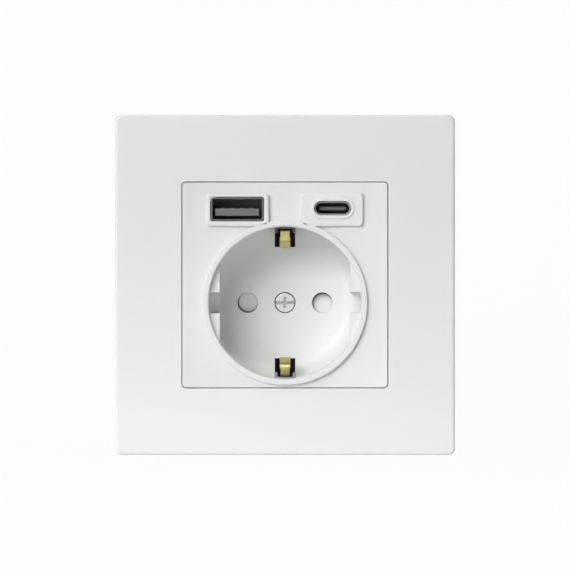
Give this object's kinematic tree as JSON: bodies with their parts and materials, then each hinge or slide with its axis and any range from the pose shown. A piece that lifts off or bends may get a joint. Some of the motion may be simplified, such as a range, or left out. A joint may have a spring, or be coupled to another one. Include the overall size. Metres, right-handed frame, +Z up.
{
  "type": "usb wall socket",
  "caption": "Flush wall socket outlet in a square frame, with a round earthed plug recess and charging ports above it",
  "frame": {"origin": "middle of the 60 mm box screw pitch, in the plane where the support ring lies against the wall", "axes": "+X to the right as seen from the room, +Z up, +Y into the wall; the front faces -Y"},
  "size_m": [0.086, 0.0434, 0.086],
  "materials": {
    "white_plastic": "smooth white moulding",
    "inner_plastic": "dark heat-resistant moulding",
    "cage_plastic": "light grey moulding",
    "port_plastic": "dark grey moulding",
    "zinc_steel": "bright zinc plate",
    "spring_steel": "bare spring steel",
    "nickel_shell": "dull nickel plate",
    "brass": "bare rolled brass",
    "contact_gold": "gold flash",
    "board_green": "glass-fibre board",
    "ferrite": "sintered ferrite",
    "winding_tape": "yellow film tape",
    "can_sleeve": "shrink sleeve",
    "film_capacitor_box": "cast box",
    "fuse_ceramic": "ceramic tube",
    "chip_black": "moulded chip"
  },
  "bodies": {
    "socket": {"cover_frame": "white_plastic", "centre_plate": "white_plastic", "centre_screw": "zinc_steel", "shutter_spring": "spring_steel", "shutter_cage": "cage_plastic", "earth_strap": "brass", "earth_guard_top": "zinc_steel", "earth_guard_bottom": "zinc_steel", "live_contact": "brass", "neutral_contact": "brass", "support_ring": "zinc_steel", "claw_pin_left": "zinc_steel", "claw_pin_right": "zinc_steel", "body_housing": "inner_plastic", "rear_cover": "inner_plastic", "usb_a_shell": "nickel_shell", "usb_a_insulator": "port_plastic", "usb_a_contacts": "contact_gold", "usb_c_shell": "nickel_shell", "usb_c_insulator": "port_plastic", "usb_c_contacts": "contact_gold", "usb_board": "board_green", "power_board": "board_green", "link_pins": "contact_gold", "transformer_core": "ferrite", "transformer_winding": "winding_tape", "input_capacitor": "can_sleeve", "output_capacitor": "can_sleeve", "fuse": "fuse_ceramic", "safety_capacitor": "film_capacitor_box", "rectifier": "chip_black", "control_chip": "chip_black", "terminal_live": "brass", "terminal_earth": "brass", "terminal_neutral": "brass", "ring_screws": "zinc_steel", "rear_cover_screws": "zinc_steel"},
    "shutter": {"shutter": "white_plastic"},
    "claw_left": {"claw_left": "zinc_steel"},
    "claw_right": {"claw_right": "zinc_steel"},
    "claw_screw_left": {"claw_screw_left": "zinc_steel"},
    "claw_screw_right": {"claw_screw_right": "zinc_steel"},
    "terminal_screw_live": {"terminal_screw_live": "zinc_steel"},
    "terminal_screw_earth": {"terminal_screw_earth": "zinc_steel"},
    "terminal_screw_neutral": {"terminal_screw_neutral": "zinc_steel"}
  },
  "joints": [
    {"name": "shutter_turn", "type": "hinge", "parent": "socket", "child": "shutter", "pos_m": [0, 0.009, -0.0045], "axis": [0, 1, 0], "range_deg": [0, 36], "stiffness_Nm_per_rad": 0.004, "springref_deg": -20.05, "deforming": ["shutter_spring"]},
    {"name": "claw_screw_right_travel", "type": "slide", "parent": "socket", "child": "claw_screw_right", "axis": [0, 1, 0], "range_m": [0, 0.0012]},
    {"name": "claw_right_swing", "type": "hinge", "parent": "socket", "child": "claw_right", "pos_m": [0.0273, 0.006, 0], "axis": [0, 0, -1], "range_deg": [0, 24]},
    {"name": "claw_screw_left_travel", "type": "slide", "parent": "socket", "child": "claw_screw_left", "axis": [0, 1, 0], "range_m": [0, 0.0012]},
    {"name": "claw_left_swing", "type": "hinge", "parent": "socket", "child": "claw_left", "pos_m": [-0.0273, 0.006, 0], "axis": [0, 0, 1], "range_deg": [0, 24]},
    {"name": "terminal_screw_live_travel", "type": "slide", "parent": "socket", "child": "terminal_screw_live", "axis": [0, 0, 1], "range_m": [0, 0.0024]},
    {"name": "terminal_screw_earth_travel", "type": "slide", "parent": "socket", "child": "terminal_screw_earth", "axis": [0, 0, 1], "range_m": [0, 0.0024]},
    {"name": "terminal_screw_neutral_travel", "type": "slide", "parent": "socket", "child": "terminal_screw_neutral", "axis": [0, 0, 1], "range_m": [0, 0.0024]}
  ],
  "couplings": [
    {"joint": "claw_right_swing", "follows": "claw_screw_right_travel", "rad_per_m": 349.06},
    {"joint": "claw_left_swing", "follows": "claw_screw_left_travel", "rad_per_m": 349.06}
  ]
}
